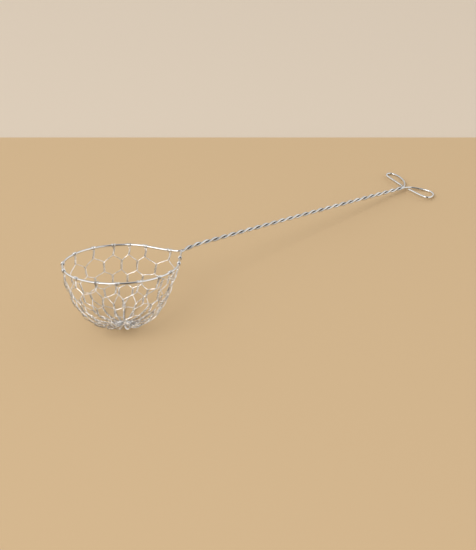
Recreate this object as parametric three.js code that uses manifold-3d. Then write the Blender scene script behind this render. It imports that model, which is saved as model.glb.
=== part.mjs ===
// A fondue skimmer: a small basket of twisted wire mesh on a twisted wire handle that ends in two flat loops.
// Millimetres, +Z up. It lies as it is put down on a table, on the middle of its basket and on both loops,
// with the handle heading along +X and the origin on the table under the middle of its outline.
import * as THREE from "three";
import { mergeVertices } from "three/addons/utils/BufferGeometryUtils.js";
import Module from "manifold-3d";

// Wires, by diameter, the clearance between wires that touch, and the gap where the frame wire's stretches meet.
const frameWire = 1.4;
const meshWire = 0.5;
const ringWire = 0.8;
const clearance = 0.06;
const jointGap = 0.3;

// Rim: a round hoop that leaves its circle for the neck at an angle to each side of the handle, and dips there.
const rimRadius = 34.3;
const neckAngle = THREE.MathUtils.degToRad(40);
const neckBend = 3;
const neckDip = 2.6;
const neckRise = 14;

// Basket: a round pot, full at the wall and almost flat at the floor, bent a little to one side below the rim.
const basketDepth = 38.4;
const wallFullness = 3.1;
const floorFullness = 1.3;
const basketLean = 1.4;
const leanHeading = THREE.MathUtils.degToRad(140);
const leanFull = { from: 0.2, to: 0.7 };

// Mesh: where each wire hooks over the rim, in degrees from the handle, as a hand has spaced them.
const hookAngles = [8, 30, 47, 63, 85, 110, 140, 161, 187, 212, 232, 253, 275, 291, 318, 340];
const firstSpoke = 3.5;
const spokeStep = 360 / hookAngles.length;

// Twists of the mesh, from the rim down, as shares of the way from the rim to the middle of the floor, each with
// its row's drift round the basket in degrees. The last one runs on to the centre ring and ends a quarter turn on,
// with one strand over the other.
const twists = [
  { top: 0.034, bottom: 0.106, turns: 1, drift: -1 },
  { top: 0.177, bottom: 0.27, turns: 1, drift: -3 },
  { top: 0.323, bottom: 0.416, turns: 1, drift: -1.5 },
  { top: 0.464, bottom: 0.534, turns: 1, drift: 0 },
  { top: 0.64, turns: 2.25, drift: 0 },
];
const handSway = 0.008;

// Wraps that hold the mesh on the rim, and the hooks that hold it on the centre ring.
const wrapTurns = 1.25;
const wrapLead = 0.15;
const hookSpacing = 0.1;
const hookLead = 1.8;

// Handle, and the routes of its end loops: forward and outward from the point where the wires part. Each wire runs
// on past the other, out and round, and comes back beside the handle.
const handleLength = 197.4;
const handleTurns = 14;
const handleSag = 0.95;
const sagRise = 150;
const loopLead = 1;
const loopRoll = THREE.MathUtils.degToRad(10.4);
const loopDroop = THREE.MathUtils.degToRad(2.2);
const leftLoop = [
  [3.2, 0.9],
  [6.1, 2.8],
  [8.9, 5.3],
  [11.3, 8.1],
  [13.6, 12.5],
  [14.8, 17],
  [14.5, 21],
  [12.6, 23.5],
  [9.8, 23.6],
  [7.1, 21.4],
  [5.9, 16.5],
  [5, 11],
  [4.2, 6.5],
  [3.7, 3.9],
];
const rightLoop = [
  [4.4, -0.85],
  [7.6, -2],
  [10.6, -4.4],
  [13, -7],
  [15.2, -10.2],
  [16.4, -13.4],
  [15.2, -16.8],
  [11.9, -19.4],
  [8.1, -20.6],
  [5.3, -19.4],
  [4, -16],
  [3.6, -11],
  [3.5, -7],
  [3.2, -3.6],
];

// The feet are worn flat to this depth where they stand.
const standFlat = 0.12;

// Facets: sides of a wire's section, and steps along its bends.
const frameSides = 6;
const meshSides = 4;
const ringSteps = 24;
const hoopSteps = 52;
const bendSteps = 4;
const loopSteps = 42;
const handleTurnSteps = 8;
const meshTurnSteps = 5;
const wrapTurnSteps = 6;
const hookSteps = 4;

const up = new THREE.Vector3(0, 0, 1);
const { lerp, degToRad, smoothstep } = THREE.MathUtils;
const wasm = await Module();
wasm.setup();

const frameSteel = new THREE.MeshStandardMaterial({ color: 0xc9c6c0, roughness: 0.22, metalness: 1 });
const meshSteel = new THREE.MeshStandardMaterial({ color: 0xbdbab4, roughness: 0.28, metalness: 1 });

// A bent wire's centreline through the given points, with the mean direction of both sides at each bend.
class WirePath extends THREE.Curve {
  constructor(points) {
    super();
    this.points = points;
  }

  getUtoTmapping(u) {
    return u;
  }

  getPoint(t) {
    return this.points[Math.round(t * (this.points.length - 1))].clone();
  }

  getTangent(t) {
    const at = Math.round(t * (this.points.length - 1));
    const sum = new THREE.Vector3();
    for (const start of [at - 1, at]) {
      if (start < 0 || start + 1 >= this.points.length) continue;
      sum.add(this.points[start + 1].clone().sub(this.points[start]).normalize());
    }
    return sum.normalize();
  }
}

function wireMesh(name, points, diameter, sides, material) {
  const section = new THREE.Shape();
  for (let side = 0; side < sides; side++) {
    const angle = (2 * Math.PI * side) / sides;
    const corner = [(diameter / 2) * Math.cos(angle), (diameter / 2) * Math.sin(angle)];
    if (side === 0) section.moveTo(...corner);
    else section.lineTo(...corner);
  }
  section.closePath();
  const path = { steps: points.length - 1, extrudePath: new WirePath(points) };
  const mesh = new THREE.Mesh(new THREE.ExtrudeGeometry(section, path), material);
  mesh.name = name;
  return mesh;
}

// Distance from a bend's centre to its corners, so that the straight steps between them keep the given distance.
function cornerRadius(distance, turnSteps) {
  return distance / Math.cos(Math.PI / turnSteps);
}

function arcPoints(centreX, centreY, radius, from, to, steps) {
  return Array.from({ length: steps + 1 }, (_, step) => {
    const angle = lerp(from, to, step / steps);
    return new THREE.Vector3(centreX + radius * Math.cos(angle), centreY + radius * Math.sin(angle), 0);
  });
}

// Rim and neck. The hoop's two tails run side by side into the handle, as far apart as the strands' axes.
const strandRadius = cornerRadius((frameWire + clearance) / 2, handleTurnSteps);
const neckTurn = Math.PI / 2 - neckAngle;
const tangentLength = (rimRadius * Math.sin(neckAngle) - strandRadius) / Math.cos(neckAngle);
const neckX =
  rimRadius * Math.cos(neckAngle) + tangentLength * Math.sin(neckAngle) + neckBend * Math.tan(neckTurn / 2);

// How far the hoop runs from the basket's axis, which way its outer side faces and how high it lies,
// at an angle from the handle.
function fromHandle(angle) {
  return Math.atan2(Math.sin(angle), Math.cos(angle));
}

function hoopReach(angle) {
  const off = Math.abs(fromHandle(angle));
  return off < neckAngle ? rimRadius / Math.cos(neckAngle - off) : rimRadius;
}

function hoopFacing(angle) {
  const off = fromHandle(angle);
  return Math.abs(off) < neckAngle ? Math.sign(off) * neckAngle : off;
}

function hoopHeight(angle) {
  return -neckDip * (1 - smoothstep(Math.abs(fromHandle(angle)), 0, neckAngle));
}

function rimHoop() {
  const bendY = strandRadius + neckBend;
  const bend = arcPoints(neckX, bendY, neckBend, -Math.PI / 2, -Math.PI / 2 - neckTurn, bendSteps);
  const corner = bend.at(-1);
  const tangent = new THREE.Vector3(rimRadius * Math.cos(neckAngle), rimRadius * Math.sin(neckAngle), 0);
  for (let step = 1; step < bendSteps; step++) bend.push(corner.clone().lerp(tangent, step / bendSteps));
  const circle = arcPoints(0, 0, rimRadius, neckAngle, 2 * Math.PI - neckAngle, hoopSteps);
  const farBend = bend.map((p) => new THREE.Vector3(p.x, -p.y, 0)).reverse();
  const points = [...bend, ...circle, ...farBend];
  for (const point of points) point.z = hoopHeight(Math.atan2(point.y, point.x));
  return wireMesh("rim_hoop", points, frameWire, frameSides, frameSteel);
}

// The basket's profile from the rim to the middle of its floor, as a fuller sort of ellipse.
class Meridian extends THREE.Curve {
  getPoint(t) {
    const angle = (t * Math.PI) / 2;
    const reach = rimRadius * Math.max(Math.cos(angle), 0) ** (2 / wallFullness);
    return new THREE.Vector3(reach, 0, -basketDepth * Math.sin(angle) ** (2 / floorFullness));
  }
}
const meridian = new Meridian();
meridian.arcLengthDivisions = 600;

function basketPoint(angle, share) {
  const profile = meridian.getPointAt(share);
  const reach = profile.x * lerp(hoopReach(angle) / rimRadius, 1, share);
  const height = profile.z + hoopHeight(angle) * (1 - share);
  const lean = basketLean * smoothstep(share, 0, leanFull.from) * (1 - smoothstep(share, leanFull.to, 1));
  return new THREE.Vector3(
    reach * Math.cos(angle) + lean * Math.cos(leanHeading),
    reach * Math.sin(angle) + lean * Math.sin(leanHeading),
    height,
  );
}

// A mesh column runs from its hook on the rim to its evenly spaced spoke. Half columns lie between two whole ones.
function columnAngle(column, share) {
  if (!Number.isInteger(column)) {
    return (columnAngle(column - 0.5, share) + columnAngle(column + 0.5, share)) / 2;
  }
  const count = hookAngles.length;
  const round = Math.floor(column / count);
  const hook = hookAngles[column - round * count] + 360 * round;
  return degToRad(lerp(hook, firstSpoke + spokeStep * column, share));
}

// A hand doesn't start two twists at quite the same depth.
function sway(column, row) {
  const around = (2 * Math.PI * column) / hookAngles.length;
  return handSway * (Math.sin(3 * around + 2 * row) + Math.sin(5 * around - row)) * 0.5;
}

const meshRadius = cornerRadius((meshWire + clearance) / 2, meshTurnSteps);

// One strand of a twist, side 1 or -1, from its top to its bottom.
function twistPoints(column, row, side) {
  const twist = twists[row];
  const steps = Math.round(twist.turns * meshTurnSteps);
  const shift = row === twists.length - 1 ? 0 : sway(column, row);
  return Array.from({ length: steps + 1 }, (_, step) => {
    const share = lerp(twist.top, twist.bottom, step / steps) + shift;
    const angle = columnAngle(column, share) + degToRad(twist.drift);
    const near = 0.001;
    const along = basketPoint(angle, share + near).sub(basketPoint(angle, share - near)).normalize();
    const across = new THREE.Vector3(-Math.sin(angle), Math.cos(angle), 0);
    const out = along.clone().cross(across);
    const turn = (2 * Math.PI * twist.turns * step) / steps;
    return basketPoint(angle, share)
      .addScaledVector(across, side * meshRadius * Math.cos(turn))
      .addScaledVector(out, side * meshRadius * Math.sin(turn));
  });
}

// A strand's end, wound round the rim and away from its partner, from the free end to the twist below.
const wrapRadius = cornerRadius((frameWire + meshWire) / 2 + clearance, wrapTurnSteps);
const wrapPitch = meshWire + 2 * clearance;

function wrapPoints(column, side) {
  const steps = Math.round(wrapTurns * wrapTurnSteps);
  return Array.from({ length: steps + 1 }, (_, step) => {
    const turns = step / wrapTurnSteps;
    const slide = side * (meshWire / 2 + wrapLead + wrapPitch * turns);
    const hook = columnAngle(column, 0);
    const angle = hook + slide / hoopReach(hook);
    const facing = hoopFacing(angle);
    const round = 2 * Math.PI * turns - Math.PI / 3;
    const out = wrapRadius * Math.cos(round);
    return new THREE.Vector3(
      hoopReach(angle) * Math.cos(angle) + out * Math.cos(facing),
      hoopReach(angle) * Math.sin(angle) + out * Math.sin(facing),
      wrapRadius * Math.sin(round) + hoopHeight(angle),
    );
  }).reverse();
}

// The centre ring is as wide as the mesh wires need to pass through it side by side.
const hookRadius = cornerRadius((ringWire + meshWire) / 2 + clearance, 2 * hookSteps);
const ringRadius = (hookAngles.length * (meshWire + hookSpacing)) / (2 * Math.PI) + hookRadius;
twists.at(-1).bottom = 1 - (ringRadius + hookLead) / meridian.getLength();

function centreRing() {
  const ring = new THREE.TorusGeometry(ringRadius, ringWire / 2, frameSides, ringSteps);
  const mesh = new THREE.Mesh(ring, meshSteel);
  mesh.name = "centre_ring";
  mesh.position.z = -basketDepth;
  return mesh;
}

// A mesh wire's fold over the centre ring: over its top, down through it and out below.
function hookPoints(column) {
  const angle = columnAngle(column, 1);
  return Array.from({ length: hookSteps + 1 }, (_, step) => {
    const round = Math.PI * (0.5 + step / hookSteps);
    const reach = ringRadius + hookRadius * Math.cos(round);
    const height = hookRadius * Math.sin(round) - basketDepth;
    return new THREE.Vector3(reach * Math.cos(angle), reach * Math.sin(angle), height);
  });
}

// Every other twist is with the strand's own other half, and those between with the neighbour's.
function strandPoints(column, side) {
  const points = wrapPoints(column, side);
  twists.forEach((_, row) => {
    const own = row % 2 === 0;
    points.push(...twistPoints(own ? column : column + side / 2, row, own ? side : -side));
  });
  return points;
}

function meshWires() {
  return hookAngles.map((_, column) => {
    const over = strandPoints(column, -1);
    const under = strandPoints(column, 1).reverse();
    const name = `mesh_wire_${String(column + 1).padStart(2, "0")}`;
    return wireMesh(name, [...over, ...hookPoints(column), ...under], meshWire, meshSides, meshSteel);
  });
}

function restOfRise(along, length) {
  return (1 - Math.min(along / length, 1)) ** 2;
}

// Handle: two strands wound left-handed, rising from the neck at first steeply and then out of a slight sag, with
// the last turn short by the loops' roll.
function handleStrand(name, side) {
  const steps = handleTurns * handleTurnSteps;
  const points = Array.from({ length: steps + 1 }, (_, step) => {
    const turn = (loopRoll - 2 * Math.PI * handleTurns) * (step / steps);
    const along = (handleLength * step) / steps;
    const axisHeight = -(neckDip - handleSag) * restOfRise(along, neckRise) - handleSag * restOfRise(along, sagRise);
    return new THREE.Vector3(
      neckX + jointGap + along,
      side * strandRadius * Math.cos(turn),
      side * strandRadius * Math.sin(turn) + axisHeight,
    );
  });
  return wireMesh(name, points, frameWire, frameSides, frameSteel);
}

function endLoop(name, side, route) {
  const lead = [0, loopLead].map((forward) => [forward, side * strandRadius]);
  const bends = [...lead, ...route].map(([forward, outward]) => new THREE.Vector3(forward, outward, 0));
  const points = new THREE.CatmullRomCurve3(bends).getSpacedPoints(loopSteps);
  const mesh = wireMesh(name, points, frameWire, frameSides, frameSteel);
  mesh.position.x = neckX + handleLength + 2 * jointGap;
  mesh.rotation.set(loopRoll, loopDroop, 0);
  return mesh;
}

const tool = new THREE.Group();
const wires = meshWires();
const loops = [endLoop("end_loop_left", 1, leftLoop), endLoop("end_loop_right", -1, rightLoop)];
tool.add(rimHoop(), handleStrand("handle_strand_left", 1), handleStrand("handle_strand_right", -1));
tool.add(...loops, centreRing(), ...wires);

// Lowest point of a group of meshes where they now are.
function lowestPoint(meshes) {
  const lowest = new THREE.Vector3(0, 0, Infinity);
  const point = new THREE.Vector3();
  for (const mesh of meshes) {
    const position = mesh.geometry.getAttribute("position");
    for (let at = 0; at < position.count; at++) {
      point.fromBufferAttribute(position, at).applyMatrix4(mesh.matrixWorld);
      if (point.z < lowest.z) lowest.copy(point);
    }
  }
  return lowest;
}

// Puts the skimmer down: turns it until its three feet stand level, then heads the handle along +X.
function putDown(feet) {
  const rounds = 16;
  for (let round = 0; round < rounds; round++) {
    tool.updateMatrixWorld(true);
    const [basket, left, right] = feet.map(lowestPoint);
    const normal = right.sub(basket).cross(left.sub(basket)).normalize();
    tool.quaternion.premultiply(new THREE.Quaternion().setFromUnitVectors(normal, up));
  }
  const heading = new THREE.Vector3(1, 0, 0).applyQuaternion(tool.quaternion);
  const turn = new THREE.Quaternion().setFromAxisAngle(up, -Math.atan2(heading.y, heading.x));
  tool.quaternion.premultiply(turn);
  tool.updateMatrixWorld(true);
  const outline = new THREE.Box3().setFromObject(tool, true);
  const middle = outline.getCenter(new THREE.Vector3());
  tool.position.set(-middle.x, -middle.y, -outline.min.z - standFlat);
  tool.updateMatrixWorld(true);
}

function solidOf(geometry) {
  const plain = geometry.clone().deleteAttribute("normal").deleteAttribute("uv");
  const merged = mergeVertices(plain, 1e-4);
  const vertProperties = merged.attributes.position.array;
  return new wasm.Manifold(
    new wasm.Mesh({ numProp: 3, vertProperties, triVerts: new Uint32Array(merged.index.array) }),
  );
}

// Cuts a foot flat where it stands, in its own frame.
function standFlatOn(mesh) {
  const thickness = 10;
  const outline = new THREE.Box3().setFromObject(mesh, true).expandByScalar(thickness);
  if (outline.min.z + thickness >= 0) return;
  const size = outline.getSize(new THREE.Vector3());
  const table = new THREE.BoxGeometry(size.x, size.y, thickness);
  const centre = outline.getCenter(new THREE.Vector3());
  table.translate(centre.x, centre.y, -thickness / 2);
  table.applyMatrix4(mesh.matrixWorld.clone().invert());
  const cut = solidOf(mesh.geometry).subtract(solidOf(table)).getMesh();
  mesh.geometry = new THREE.BufferGeometry()
    .setAttribute("position", new THREE.BufferAttribute(cut.vertProperties, cut.numProp))
    .setIndex(new THREE.BufferAttribute(cut.triVerts, 1));
}

putDown([wires, [loops[0]], [loops[1]]]);
for (const mesh of [...wires, ...loops]) standFlatOn(mesh);

const skimmer = new THREE.Group();
skimmer.add(tool);
export default skimmer;
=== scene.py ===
from bisect import bisect_right
from math import atan2, cos, pi, radians, sin, tan

import bmesh
import bpy
from mathutils import Euler, Matrix, Vector
from mathutils.geometry import interpolate_bezier


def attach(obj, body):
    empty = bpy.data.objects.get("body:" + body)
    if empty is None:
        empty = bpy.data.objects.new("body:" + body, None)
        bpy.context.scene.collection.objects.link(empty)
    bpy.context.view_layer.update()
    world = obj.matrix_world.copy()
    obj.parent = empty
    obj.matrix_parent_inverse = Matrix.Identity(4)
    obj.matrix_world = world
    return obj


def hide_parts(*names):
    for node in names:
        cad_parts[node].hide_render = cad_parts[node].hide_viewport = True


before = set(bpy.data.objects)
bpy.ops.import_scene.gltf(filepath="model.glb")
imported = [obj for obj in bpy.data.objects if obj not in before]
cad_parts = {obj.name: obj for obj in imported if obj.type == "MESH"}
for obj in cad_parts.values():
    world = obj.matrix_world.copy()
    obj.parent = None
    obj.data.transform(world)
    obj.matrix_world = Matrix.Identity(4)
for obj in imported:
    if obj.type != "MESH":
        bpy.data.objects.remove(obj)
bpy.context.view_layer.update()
print("frame loaded:", len(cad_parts), "nodes")

# The wires are bent in the skimmer's own frame: millimetres, rim in XY, handle along +X, basket below.
# The rest pose puts them down as the solids lie, on the middle of the basket and on both loops.
rest = {
    "place": (-0.1112563, 0.0000211, 0.0394655),  # of the rim's middle, in metres
    "roll": radians(-10.9003),
    "pitch": radians(8.4963),
    "millimetre": 0.001,
}
restPose = (
    Matrix.Translation(rest["place"])
    @ Euler((rest["roll"], rest["pitch"], 0)).to_matrix().to_4x4()
    @ Matrix.Scale(rest["millimetre"], 4)
)


def lerp(first, last, share):
    return first + (last - first) * share


def smoothStep(value, low, high):
    share = min(max((value - low) / (high - low), 0), 1)
    return share * share * (3 - 2 * share)


def runLengths(points):
    # how far along each point is
    lengths = [0]
    for first, second in zip(points, points[1:]):
        lengths.append(lengths[-1] + (second - first).length)
    return lengths


def pointAlong(points, lengths, target):
    at = min(max(bisect_right(lengths, target) - 1, 0), len(points) - 2)
    part = (target - lengths[at]) / (lengths[at + 1] - lengths[at])
    return points[at].lerp(points[at + 1], part)


def aimAlong(heading):
    return Vector(heading).to_track_quat("-Z", "Y").to_euler()


def meshObject(name, bm, material):
    mesh = bpy.data.meshes.new(name)
    bm.to_mesh(mesh)
    bm.free()
    mesh.materials.append(material)
    made = bpy.data.objects.new(name, mesh)
    bpy.context.collection.objects.link(made)
    return made


# Camera at the photograph's angle
camera = {
    "place": (-0.42044, -0.48674, 0.41742),
    "heading": (0.52521, 0.64145, -0.55919),
    "focalPixels": 1162,
    "imageHeight": 550,
    "sensor": 24,
    "clipStart": 0.01,
}
cameraData = bpy.data.cameras.new("photo_camera")
cameraData.sensor_fit = "VERTICAL"
cameraData.sensor_height = camera["sensor"]
cameraData.lens = camera["focalPixels"] * camera["sensor"] / camera["imageHeight"]
cameraData.clip_start = camera["clipStart"]
photoCamera = bpy.data.objects.new("photo_camera", cameraData)
photoCamera.location = camera["place"]
photoCamera.rotation_euler = aimAlong(camera["heading"])
bpy.context.collection.objects.link(photoCamera)
bpy.context.scene.camera = photoCamera
print("camera set")


# Shader maths: a socket that takes part in plain sums
class Shade:
    def __init__(self, tree, socket=None):
        self.tree = tree
        self.socket = socket

    def node(self, kind, settings, sockets, out=0):
        made = self.tree.nodes.new(kind)
        for key, value in settings.items():
            setattr(made, key, value)
        for key, value in sockets.items():
            if isinstance(value, Shade):
                self.tree.links.new(value.socket, made.inputs[key])
            else:
                made.inputs[key].default_value = value
        return Shade(self.tree, made.outputs[out] if made.outputs else None)

    def maths(self, operation, first, second):
        return self.node("ShaderNodeMath", {"operation": operation}, {0: first, 1: second})

    def __add__(self, other):
        return self.maths("ADD", self, other)

    def __radd__(self, other):
        return self.maths("ADD", other, self)

    def __sub__(self, other):
        return self.maths("SUBTRACT", self, other)

    def __rsub__(self, other):
        return self.maths("SUBTRACT", other, self)

    def __mul__(self, other):
        return self.maths("MULTIPLY", self, other)

    def __rmul__(self, other):
        return self.maths("MULTIPLY", other, self)

    def __abs__(self):
        return self.node("ShaderNodeMath", {"operation": "ABSOLUTE"}, {0: self})


def emptyTree(owner):
    # for a material or the world
    owner.use_nodes = True
    owner.node_tree.nodes.clear()
    return Shade(owner.node_tree)


def mixColours(shade, factor, first, second):
    settings = {"data_type": "RGBA", "blend_type": "MIX"}
    return shade.node("ShaderNodeMix", settings, {0: factor, 6: first, 7: second}, out=2)


def fade(shade, value, low, high):
    # from 0 at low to 1 at high
    settings = {"interpolation_type": "SMOOTHSTEP"}
    return shade.node("ShaderNodeMapRange", settings, {"Value": value, 1: low, 2: high})


# Drawn wire, with streaks along it, tarnish in blotches, soil in blotches and painted shade where wires lie
# against each other
wireWear = {
    "streakDetail": 3,
    "blotchDetail": 2,
    "streakShare": 0.4,  # of the tarnish
    "blotchShare": 0.6,
    "blotchSoil": 0.2,
    "shadeAndSoilRoughness": 0.2,
    "reliefStrength": 0.4,
}
frameFinish = {
    "bright": (0.80, 0.795, 0.785, 1),
    "dull": (0.56, 0.555, 0.545, 1),
    "roughness": 0.17,
    "streakRoughness": 0.10,
    "workedRoughness": 0.06,
    "streakLength": 0.12,  # per millimetre along the wire
    "streakFineness": 5.0,  # per millimetre round the wire
    "blotch": 90,  # per metre
    "tarnish": (0.42, 0.72),  # of the noise, from bright to dull
    "streakDepth": 0.00002,
    "workedTarnish": 0.12,  # added where the wire was bent or twisted hard
    # dark colour of the painted shade between wires, and of soil in blotches
    "shadeAndGrime": (0.115, 0.10, 0.085, 1),
    "shadeAndGrimeFrom": 0.25,
}
# the thin wire is brighter, but dulled in small blotches
meshFinish = {
    "bright": (0.97, 0.963, 0.95, 1),
    "dull": (0.42, 0.412, 0.40, 1),
    "roughness": 0.20,
    "streakRoughness": 0.14,
    "workedRoughness": 0.02,
    "streakLength": 0.2,
    "streakFineness": 9.0,
    "blotch": 420,
    "tarnish": (0.49, 0.62),
    "streakDepth": 0.000012,
    "workedTarnish": 0.03,
    # dark colour of the painted shade between wires, and of soil in blotches
    "shadeAndGrime": (0.10, 0.09, 0.078, 1),
    "shadeAndGrimeFrom": 0.5,
}


def wireMaterial(name, finish):
    material = bpy.data.materials.new(name)
    shade = emptyTree(material)
    straight = shade.node("ShaderNodeAttribute", {"attribute_name": "straight"}, {}, out=1)  # a vector
    worked = shade.node("ShaderNodeAttribute", {"attribute_name": "worked"}, {}, out=2)  # a value
    # painted shade: how much each point of the wire faces a wire that lies against it
    paintedShade = shade.node("ShaderNodeAttribute", {"attribute_name": "paintedShade"}, {}, out=2)
    place = shade.node("ShaderNodeTexCoord", {}, {}, out=3)  # Object coordinates
    stretch = (finish["streakLength"], finish["streakFineness"], finish["streakFineness"])
    drawn = shade.node("ShaderNodeVectorMath", {"operation": "MULTIPLY"}, {0: straight, 1: stretch})
    streaks = shade.node(
        "ShaderNodeTexNoise",
        {},
        {"Vector": drawn, "Scale": 1, "Detail": wireWear["streakDetail"]},
    )
    blotches = shade.node(
        "ShaderNodeTexNoise",
        {},
        {"Vector": place, "Scale": finish["blotch"], "Detail": wireWear["blotchDetail"]},
    )
    uneven = wireWear["streakShare"] * streaks + wireWear["blotchShare"] * blotches
    tarnish = fade(shade, uneven + finish["workedTarnish"] * worked, *finish["tarnish"])
    # painted shade where wires lie against each other, with real soil in blotches, darkens and roughens the
    # wire
    shadedAndSoiled = fade(shade, paintedShade + wireWear["blotchSoil"] * blotches, finish["shadeAndGrimeFrom"], 1)
    colour = mixColours(shade, tarnish, finish["bright"], finish["dull"])
    colour = mixColours(shade, shadedAndSoiled, colour, finish["shadeAndGrime"])
    roughness = finish["roughness"] + finish["streakRoughness"] * tarnish
    roughness = roughness + finish["workedRoughness"] * worked
    roughness = roughness + wireWear["shadeAndSoilRoughness"] * shadedAndSoiled
    relief = shade.node(
        "ShaderNodeBump",
        {},
        {"Height": streaks, "Strength": wireWear["reliefStrength"], "Distance": finish["streakDepth"]},
    )
    skin = shade.node(
        "ShaderNodeBsdfPrincipled",
        {},
        {"Base Color": colour, "Metallic": 1, "Roughness": roughness, "Normal": relief},
    )
    shade.node("ShaderNodeOutputMaterial", {}, {"Surface": skin})
    return material


frameSteel = wireMaterial("bright_frame_wire", frameFinish)
meshSteel = wireMaterial("tinned_mesh_wire", meshFinish)
print("wire finishes made")

# A route is a list of points, each with how hard the wire was worked there, from 0 to 1, and the way to the
# wire that it lies against, longer where more shade is painted. A stretch is such a list without the
# second.
free = Vector((0, 0, 0))  # for a wire that lies against no other


def joinStretches(stretches, bend):
    # stretches of worked wire, with an easy bend from the end of each to the start of the next
    route = [(point, 1, inward) for point, inward in stretches[0]]
    for stretch in stretches[1:]:
        (start, _, leaving), (end, arriving) = route[-1], stretch[0]
        heading = (start - route[-2][0]).normalized()
        arrival = (stretch[1][0] - end).normalized()
        reach = (end - start).length * bend["reach"]
        knots = (start, start + heading * reach, end - arrival * reach, end)
        between = interpolate_bezier(*knots, bend["steps"] + 1)[1:-1]
        for at, point in enumerate(between):
            share = (at + 1) / (len(between) + 1)
            worked = abs(2 * share - 1) ** bend["ease"]
            route.append((point, worked, (leaving if share < 0.5 else arriving) * worked))
        route += [(point, 1, inward) for point, inward in stretch]
    return route


def wireRings(route):
    # each point's ring, as its place and facing, with its distance along the wire
    rings, along = [], 0
    for at, (point, worked, inward) in enumerate(route):
        before = route[max(at - 1, 0)][0]
        after = route[min(at + 1, len(route) - 1)][0]
        heading = ((point - before).normalized() + (after - point).normalized()).normalized()
        if rings:
            facing = lastHeading.rotation_difference(heading) @ facing
            along += (point - before).length
        else:
            facing = heading.to_track_quat("Z", "Y")
        lastHeading = heading
        rings.append((Matrix.Translation(point) @ facing.to_matrix().to_4x4(), along, worked, inward))
    return rings


tableCut = {"height": 0, "tolerance": 1e-7}


def standFlat(bm):
    # what would dip into the table is cut off flat
    if min(vert.co.z for vert in bm.verts) >= tableCut["height"]:
        return
    bmesh.ops.bisect_plane(
        bm,
        geom=bm.verts[:] + bm.edges[:] + bm.faces[:],
        dist=tableCut["tolerance"],
        plane_co=(0, 0, tableCut["height"]),
        plane_no=(0, 0, -1),
        clear_outer=True,
    )
    rims = [edge for edge in bm.edges if edge.is_boundary]
    for edge in rims:
        edge.smooth = False
    bmesh.ops.holes_fill(bm, edges=rims, sides=0)


def drawWire(node, rings, wire, snipped):
    # a round section along the rings; snipped ends are rounded off, and the others meet the next stretch
    bm = bmesh.new()
    straightLayer = bm.verts.layers.float_vector.new("straight")
    workedLayer = bm.verts.layers.float.new("worked")
    paintedShadeLayer = bm.verts.layers.float.new("paintedShade")
    radius = wire["diameter"] / 2
    bmesh.ops.create_circle(bm, cap_ends=True, radius=radius, segments=wire["sides"])
    section, edge = list(bm.verts), list(bm.edges)
    ends = [edge]
    last = Matrix.Identity(4)
    for at, (place, along, worked, inward) in enumerate(rings):
        if at:
            grown = bmesh.ops.extrude_edge_only(bm, edges=edge)["geom"]
            section = [part for part in grown if isinstance(part, bmesh.types.BMVert)]
            edge = [part for part in grown if isinstance(part, bmesh.types.BMEdge)]
        bmesh.ops.transform(bm, matrix=place @ last.inverted(), verts=section)
        back = place.inverted()
        for vert in section:
            side = back @ vert.co
            vert[straightLayer] = (along, side.x, side.y)
            vert[workedLayer] = worked
            # painted shade: how far this point faces the wire it lies against
            vert[paintedShadeLayer] = max((vert.co - place.translation).dot(inward) / radius, 0)
        last = place
    bmesh.ops.edgeloop_fill(bm, edges=edge)
    ends.append(edge)
    for face in bm.faces:
        face.smooth = True
    for cut, rounded in zip(ends, snipped):
        if rounded:
            bmesh.ops.bevel(
                bm,
                geom=cut,
                offset=radius * wire["endRound"],
                segments=wire["endSegments"],
                profile=0.5,
                affect="EDGES",
                material=-1,
            )
        else:
            for part in cut:
                part.smooth = False
    bmesh.ops.transform(bm, matrix=restPose, verts=bm.verts)
    standFlat(bm)
    bmesh.ops.recalc_face_normals(bm, faces=bm.faces)
    piece = meshObject("drawn_" + node, bm, wire["material"])
    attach(piece, "root")
    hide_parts(node)


# Frame wire: one length, bent into the hoop, twisted with itself into the handle and looped at both ends
frameWire = {
    "diameter": 1.4,
    "sides": 18,
    "endRound": 0.45,  # of the wire's radius
    "endSegments": 3,
    "strandRadius": 0.712,  # from the handle's line to the middle of each strand
    "material": frameSteel,
    "slot": "frame_wire",
}
hoop = {
    "radius": 34.3,
    "neckAngle": radians(40),
    "neckBend": 3,
    "neckDip": 2.6,
    "tailOffset": 0.79,  # of the solids' strands, which sets where the neck ends
    "steps": 132,
    "bendSteps": 10,
    "worked": 0,
}
neckTurn = pi / 2 - hoop["neckAngle"]
neckRun = (hoop["radius"] * sin(hoop["neckAngle"]) - hoop["tailOffset"]) / cos(hoop["neckAngle"])
neckX = (
    hoop["radius"] * cos(hoop["neckAngle"])
    + neckRun * sin(hoop["neckAngle"])
    + hoop["neckBend"] * tan(neckTurn / 2)
)


def fromHandle(angle):
    return atan2(sin(angle), cos(angle))


def hoopReach(angle):
    off = abs(fromHandle(angle))
    return hoop["radius"] / cos(hoop["neckAngle"] - off) if off < hoop["neckAngle"] else hoop["radius"]


def hoopFacing(angle):
    off = fromHandle(angle)
    if abs(off) >= hoop["neckAngle"]:
        return off
    return hoop["neckAngle"] if off > 0 else -hoop["neckAngle"]


def hoopHeight(angle):
    return -hoop["neckDip"] * (1 - smoothStep(abs(fromHandle(angle)), 0, hoop["neckAngle"]))


def arcPoints(middle, radius, first, last, steps):
    points = []
    for step in range(steps + 1):
        angle = lerp(first, last, step / steps)
        points.append(Vector((middle[0] + radius * cos(angle), middle[1] + radius * sin(angle), 0)))
    return points


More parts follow.
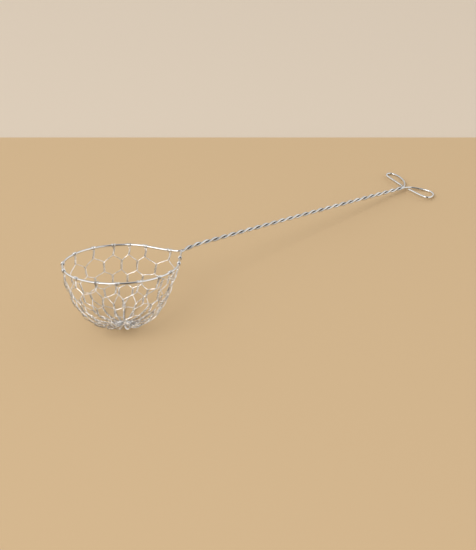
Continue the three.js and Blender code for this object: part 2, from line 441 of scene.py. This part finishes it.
def hoopRoute():
    bendMiddle = (neckX, frameWire["strandRadius"] + hoop["neckBend"])
    neck = arcPoints(bendMiddle, hoop["neckBend"], -pi / 2, -pi / 2 - neckTurn, hoop["bendSteps"])
    circle = arcPoints((0, 0), hoop["radius"], hoop["neckAngle"], 2 * pi - hoop["neckAngle"], hoop["steps"])
    corner, touch = neck[-1], circle[0]
    neck += [corner.lerp(touch, step / hoop["bendSteps"]) for step in range(1, hoop["bendSteps"])]
    farNeck = [Vector((point.x, -point.y, 0)) for point in reversed(neck)]
    points = neck + circle + farNeck
    for point in points:
        point.z = hoopHeight(atan2(point.y, point.x))
    return [(point, hoop["worked"], free) for point in points]


handle = {
    "length": 198,
    "turns": 14,
    "turnSteps": 22,
    "settle": 1.2,  # at each end, where the twist starts and stops
    "roll": radians(10.4),
    "neckRise": 14,
    "sag": 0.95,
    "sagRise": 150,
    "worked": 0.5,
}


def restOfRise(along, length):
    return (1 - min(along / length, 1)) ** 2


def strandRoute(side):
    # the twist starts and ends gently, where the two tails run side by side
    steps = handle["turns"] * handle["turnSteps"]
    length, settle = handle["length"], handle["settle"]
    route = []
    for step in range(steps + 1):
        along = length * step / steps
        gentle = along - settle / 2
        if along < settle:
            gentle = along * along / (2 * settle)
        elif along > length - settle:
            gentle = length - settle - (length - along) ** 2 / (2 * settle)
        turn = (handle["roll"] - 2 * pi * handle["turns"]) * gentle / (length - settle)
        axisHeight = -(hoop["neckDip"] - handle["sag"]) * restOfRise(along, handle["neckRise"])
        axisHeight -= handle["sag"] * restOfRise(along, handle["sagRise"])
        out = Vector((0, side * cos(turn), side * sin(turn)))
        point = Vector((neckX + along, 0, axisHeight)) + out * frameWire["strandRadius"]
        # the way to the other strand, where shade is painted between the two
        route.append((point, handle["worked"], -out))
    return route


# The loops: forward and outward from the point where the strands part
loops = {
    "lead": 1,
    "droop": radians(2.2),
    "steps": 110,
    "curveSteps": 40,  # from knot to knot, before they are spaced evenly
    "worked": 0.2,
    "left": [
        (3.2, 0.9), (6.1, 2.8), (8.9, 5.3), (11.3, 8.1), (13.6, 12.5), (14.8, 17), (14.5, 21), (12.6, 23.5),
        (9.8, 23.6), (7.1, 21.4), (5.9, 16.5), (5, 11), (4.2, 6.5), (3.7, 3.9), (3.45, 2.55),
    ],
    "right": [
        (4.4, -0.85), (7.6, -2), (10.6, -4.4), (13, -7), (15.2, -10.2), (16.4, -13.4), (15.2, -16.8),
        (11.9, -19.4), (8.1, -20.6), (5.3, -19.4), (4, -16), (3.6, -11), (3.5, -7), (3.2, -3.6),
    ],
}


def smoothThrough(knots, steps, curveSteps):
    # a centripetal curve through the knots, with evenly spaced points
    first, last = 2 * knots[0] - knots[1], 2 * knots[-1] - knots[-2]
    padded = [first] + knots + [last]
    fine = []
    for at in range(1, len(padded) - 2):
        before, start, end, after = padded[at - 1:at + 3]
        behind = (start - before).length ** 0.5
        here = (end - start).length ** 0.5
        beyond = (after - end).length ** 0.5
        leave = (start - before) / behind - (end - before) / (behind + here) + (end - start) / here
        arrive = (end - start) / here - (after - start) / (here + beyond) + (after - end) / beyond
        handles = (start + leave * here / 3, end - arrive * here / 3)
        fine += interpolate_bezier(start, *handles, end, curveSteps)[:-1]
    fine.append(knots[-1])
    lengths = runLengths(fine)
    return [pointAlong(fine, lengths, lengths[-1] * step / steps) for step in range(steps + 1)]


def loopRoute(side, bends):
    lead = [Vector((forward, side * frameWire["strandRadius"], 0)) for forward in (0, loops["lead"])]
    knots = lead + [Vector((forward, outward, 0)) for forward, outward in bends]
    hang = Matrix.Translation((neckX + handle["length"], 0, 0))
    hang = hang @ Matrix.Rotation(handle["roll"], 4, "X") @ Matrix.Rotation(loops["droop"], 4, "Y")
    points = smoothThrough(knots, loops["steps"], loops["curveSteps"])
    return [(hang @ point, loops["worked"], free) for point in points]


leftTail = strandRoute(1) + loopRoute(1, loops["left"])[1:]
rightTail = strandRoute(-1) + loopRoute(-1, loops["right"])[1:]
frameRings = wireRings(leftTail[::-1] + hoopRoute()[1:-1] + rightTail)
loopCount, strandCount = loops["steps"], handle["turns"] * handle["turnSteps"]
hoopCount = len(frameRings) - 1 - 2 * (loopCount + strandCount)
framePieces = [  # along the wire, with their steps and which of their ends are snipped
    ("end_loop_left", loopCount, (True, False)),
    ("handle_strand_left", strandCount, (False, False)),
    ("rim_hoop", hoopCount, (False, False)),
    ("handle_strand_right", strandCount, (False, False)),
    ("end_loop_right", loopCount, (False, True)),
]
firstRing = 0
for node, count, snipped in framePieces:
    drawWire(node, frameRings[firstRing:firstRing + count + 1], frameWire, snipped)
    firstRing += count
print("frame wire drawn:", len(frameRings), "rings")

# Mesh: sixteen wires, each hooked over the rim with both ends and over the centre ring with its middle
meshWire = {
    "diameter": 0.5,
    "sides": 10,
    "endRound": 0.5,
    "endSegments": 3,
    "material": meshSteel,
    "slot": "mesh_wire",
}
basket = {
    "depth": 38.4,
    "wallFullness": 3.1,
    "floorFullness": 1.3,
    "profileSteps": 600,
    "lean": 1.4,  # pushed out of round by use
    "leanHeading": radians(140),
    "leanFrom": 0.2,
    "leanTo": 0.7,
}
hookAngles = [8, 30, 47, 63, 85, 110, 140, 161, 187, 212, 232, 253, 275, 291, 318, 340]  # degrees
spokes = {
    "first": 3.5,
    "step": 360 / len(hookAngles),
    "sway": 0.008,  # of the rows, up and down
    "waves": ((3, 2), (5, -1)),  # how many go round the basket, and their shift from row to row
}


def profilePoint(share):
    angle = share * pi / 2
    reach = hoop["radius"] * max(cos(angle), 0) ** (2 / basket["wallFullness"])
    return Vector((reach, 0, -basket["depth"] * sin(angle) ** (2 / basket["floorFullness"])))


profile = [profilePoint(step / basket["profileSteps"]) for step in range(basket["profileSteps"] + 1)]
profileLengths = runLengths(profile)


def basketPoint(angle, share):
    # share is how far down the wall and in along the floor, from 0 at the rim to 1 in the middle
    side = pointAlong(profile, profileLengths, share * profileLengths[-1])
    reach = side.x * lerp(hoopReach(angle) / hoop["radius"], 1, share)
    height = side.z + hoopHeight(angle) * (1 - share)
    lean = basket["lean"] * smoothStep(share, 0, basket["leanFrom"])
    lean *= 1 - smoothStep(share, basket["leanTo"], 1)
    x = reach * cos(angle) + lean * cos(basket["leanHeading"])
    y = reach * sin(angle) + lean * sin(basket["leanHeading"])
    return Vector((x, y, height))


def columnAngle(column, share):
    # a column runs from its hook on the rim to its spoke; half columns lie between two whole ones
    if column % 1:
        return (columnAngle(column - 0.5, share) + columnAngle(column + 0.5, share)) / 2
    column = int(column)
    count = len(hookAngles)
    hook = hookAngles[column % count] + 360 * (column // count)
    return radians(lerp(hook, spokes["first"] + spokes["step"] * column, share))


def sway(column, row):
    around = 2 * pi * column / len(hookAngles)
    waves = [sin(count * around + shift * row) for count, shift in spokes["waves"]]
    return spokes["sway"] * sum(waves) / len(waves)


centre = {
    "ringRadius": 2.296,
    "ringWire": 0.8,
    "ringSides": 14,
    "ringSteps": 60,
    "ringEndRound": 0.3,
    "halfGap": radians(3),
    "hookRadius": 0.66,
    "hookLead": 1.8,
    "hookSteps": 10,
}
spokeEnd = 1 - (centre["ringRadius"] + centre["hookLead"]) / profileLengths[-1]

# Twists, from the rim down: top and bottom as shares of the way to the middle of the floor, the turn they
# start at, the turns they make, the radius they wind at, the strength of the shade painted between their
# strands and their drift round the basket, in degrees. The last ones are the spokes.
twists = [
    {"top": 0.034, "bottom": 0.106, "from": 0, "turns": 1.75, "radius": 0.46, "shadeStrength": 1, "drift": -1},
    {"top": 0.177, "bottom": 0.27, "from": 0.25, "turns": 1.5, "radius": 0.5, "shadeStrength": 1, "drift": -3},
    {"top": 0.323, "bottom": 0.416, "from": 0.25, "turns": 1.5, "radius": 0.5, "shadeStrength": 1.1, "drift": -1.5},
    {"top": 0.464, "bottom": 0.534, "from": 0.25, "turns": 1.5, "radius": 0.48, "shadeStrength": 1.2, "drift": 0},
    {"top": 0.64, "bottom": spokeEnd, "from": 0.25, "turns": 4, "radius": 0.42, "shadeStrength": 1.4, "drift": 0},
]
spokeTwist = twists[-1]
twistFineness = {"turnSteps": 14, "slopeStep": 0.001}


def twistPoints(column, row, side):
    twist = twists[row]
    steps = round(twist["turns"] * twistFineness["turnSteps"])
    shift = 0 if twist is spokeTwist else sway(column, row)
    points = []
    for step in range(steps + 1):
        share = lerp(twist["top"], twist["bottom"], step / steps) + shift
        angle = columnAngle(column, share) + radians(twist["drift"])
        above = basketPoint(angle, share - twistFineness["slopeStep"])
        below = basketPoint(angle, share + twistFineness["slopeStep"])
        along = (below - above).normalized()
        across = Vector((-sin(angle), cos(angle), 0))
        out = along.cross(across)
        turn = 2 * pi * (twist["from"] + twist["turns"] * step / steps)
        apart = side * (across * cos(turn) + out * sin(turn))
        points.append((basketPoint(angle, share) + apart * twist["radius"], -apart * twist["shadeStrength"]))
    return points


wraps = {
    "turns": 1.6,
    "turnSteps": 16,
    "radius": 0.962,
    "lead": 0.31,
    "pitch": 0.53,
    "rise": -pi / 3,
    # strength of the shade painted where the wrap lies on the rim
    "shadeStrength": 1.7,
}


def wrapPoints(column, side):
    # from the free end, round the rim towards the partner, to the top of the first twist
    points = []
    hook = columnAngle(column, 0)
    for step in range(round(wraps["turns"] * wraps["turnSteps"]) + 1):
        turns = step / wraps["turnSteps"]
        angle = hook + side * (wraps["lead"] + wraps["pitch"] * turns) / hoopReach(hook)
        reach, facing = hoopReach(angle), hoopFacing(angle)
        wound = 2 * pi * turns + wraps["rise"]
        middle = Vector((reach * cos(angle), reach * sin(angle), hoopHeight(angle)))
        out = Vector((cos(wound) * cos(facing), cos(wound) * sin(facing), sin(wound)))
        points.append((middle + out * wraps["radius"], -out * wraps["shadeStrength"]))
    return points[::-1]


def hookPoints(column):
    # the fold over the centre ring
    angle = columnAngle(column, 1)
    reach = centre["ringRadius"]
    middle = Vector((reach * cos(angle), reach * sin(angle), -basket["depth"]))
    points = []
    for step in range(centre["hookSteps"] + 1):
        fold = pi * (0.5 + step / centre["hookSteps"])
        out = Vector((cos(fold) * cos(angle), cos(fold) * sin(angle), sin(fold)))
        # the way to the ring, for shade painted where the hook lies on it
        points.append((middle + out * centre["hookRadius"], -out * spokeTwist["shadeStrength"]))
    return points


def strandStretches(column, side):
    # every other twist is with the wire's own other half, and those between with the neighbour's
    stretches = [wrapPoints(column, side)]
    for row in range(len(twists)):
        own = row % 2 == 0
        stretches.append(twistPoints(column if own else column + side / 2, row, side if own else -side))
    return stretches


meshBend = {"steps": 12, "reach": 0.3, "ease": 3}
for column in range(len(hookAngles)):
    over = strandStretches(column, -1)
    under = [stretch[::-1] for stretch in reversed(strandStretches(column, 1))]
    route = joinStretches(over + [hookPoints(column)] + under, meshBend)
    drawWire(f"mesh_wire_{column + 1:02d}", wireRings(route), meshWire, (True, True))
print("mesh wires drawn:", len(hookAngles))

ringWire = {
    **meshWire,
    "diameter": centre["ringWire"],
    "sides": centre["ringSides"],
    "endRound": centre["ringEndRound"],
}
# the ring's painted shade, as strong as the spokes'
ringShade = Vector((0, 0, spokeTwist["shadeStrength"]))
halfGap = centre["halfGap"]
ringArc = arcPoints((0, 0), centre["ringRadius"], halfGap, 2 * pi - halfGap, centre["ringSteps"])
for point in ringArc:
    point.z = -basket["depth"]
drawWire("centre_ring", wireRings([(point, 1, ringShade) for point in ringArc]), ringWire, (True, True))
print("centre ring drawn")

# Floor: a pale tan board with a cream ground behind its far edge
floor = {
    "board": (0.640, 0.456, 0.262, 1),
    "ground": (0.730, 0.617, 0.490, 1),
    "roughness": 0.9,
    "specular": 0.1,
    "farEdge": 0.8105,  # from under the camera
    "groundDrop": 0.004,
    "size": 6,
}
viewTurn = atan2(camera["heading"][1], camera["heading"][0])


def floorMaterial(name, colour):
    material = bpy.data.materials.new(name)
    shade = emptyTree(material)
    skin = shade.node(
        "ShaderNodeBsdfPrincipled",
        {},
        {"Base Color": colour, "Roughness": floor["roughness"], "Specular IOR Level": floor["specular"]},
    )
    shade.node("ShaderNodeOutputMaterial", {}, {"Surface": skin})
    return material


def floorSheet(name, colour, farEdge, height):
    half = floor["size"] / 2
    bm = bmesh.new()
    bmesh.ops.create_grid(bm, x_segments=1, y_segments=1, size=half)
    place = Matrix.Translation((camera["place"][0], camera["place"][1], height))
    place = place @ Matrix.Rotation(viewTurn, 4, "Z") @ Matrix.Translation((farEdge - half, 0, 0))
    bmesh.ops.transform(bm, matrix=place, verts=bm.verts)
    sheet = meshObject(name, bm, floorMaterial(name, colour))


floorSheet("floor_board", floor["board"], floor["farEdge"], 0)
floorSheet("floor_ground", floor["ground"], floor["size"] / 2, -floor["groundDrop"])
print("floor laid")

# Studio: bright walls, dim from behind the camera to overhead, and a soft box high at the front left
studio = {
    "farWall": 0.7,
    "sideWalls": 1.14,
    "turn": (0.25, 0.75),  # from the far wall to a side wall
    "opening": 0.03,
    "middle": 0.22,  # of the opening, to the right of the camera's line
    "sides": (0.22, 0.40),  # where it fades into the walls
    "ahead": (-0.2, 0.2),  # where it fades out, past the top
    "walls": (1, 1, 1, 1),
    "backdrop": floor["ground"],
    "box": {"name": "left_box", "place": (-1.98, -0.47, 2.27), "size": (1.7, 1.7), "watts": 35},
    "aim": (-0.05, 0, 0.02),
}
world = bpy.data.worlds.new("studio_room")
bpy.context.scene.world = world
room = emptyTree(world)
lookOut = room.node("ShaderNodeTexCoord", {}, {})


def towards(heading):
    settings = {"operation": "DOT_PRODUCT"}
    return room.node("ShaderNodeVectorMath", settings, {0: lookOut, 1: heading}, out=1)


aside = towards((sin(viewTurn), -cos(viewTurn), 0))
ahead = towards((cos(viewTurn), sin(viewTurn), 0))
sideways = fade(room, abs(aside), *studio["turn"])
level = studio["farWall"] + (studio["sideWalls"] - studio["farWall"]) * sideways
opening = 1 - fade(room, abs(aside - studio["middle"]), *studio["sides"])
opening = opening * (1 - fade(room, ahead, *studio["ahead"]))
level = level * (1 - opening) + studio["opening"] * opening
walls = room.node("ShaderNodeBackground", {}, {"Color": studio["walls"], "Strength": level})
backdrop = room.node("ShaderNodeBackground", {}, {"Color": studio["backdrop"]})
seen = room.node("ShaderNodeLightPath", {}, {}, out="Is Camera Ray")
glow = room.node("ShaderNodeMixShader", {}, {0: seen, 1: walls, 2: backdrop})
room.node("ShaderNodeOutputWorld", {}, {"Surface": glow})
box = studio["box"]
light = bpy.data.lights.new(box["name"], "AREA")
light.shape = "RECTANGLE"
light.size, light.size_y = box["size"]
light.energy = box["watts"]
lamp = bpy.data.objects.new(box["name"], light)
lamp.location = box["place"]
lamp.rotation_euler = aimAlong(Vector(studio["aim"]) - Vector(box["place"]))
bpy.context.collection.objects.link(lamp)
bpy.context.scene.view_settings.view_transform = "Standard"
print("studio lit")
